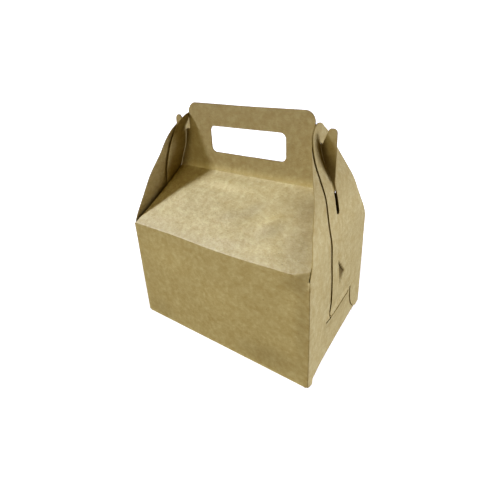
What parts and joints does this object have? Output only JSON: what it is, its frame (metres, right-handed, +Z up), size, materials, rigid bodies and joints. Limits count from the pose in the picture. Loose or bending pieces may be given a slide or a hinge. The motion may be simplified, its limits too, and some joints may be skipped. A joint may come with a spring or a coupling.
{
  "type": "takeout box",
  "caption": "Gable-top takeout box folded from one sheet of kraft board, with interlocked double side walls and an upright carrying handle with a hand hole.",
  "frame": {"origin": "middle of the base, on its underside", "axes": "+Z up through the handle, X along the handle and the long panels, -Y towards the front panel"},
  "size_m": [0.18, 0.1234, 0.205],
  "materials": {
    "kraft_board": "uncoated brown kraft, matt, with fine short fibres"
  },
  "bodies": {
    "root": {"takeout_box": "kraft_board"}
  },
  "joints": []
}
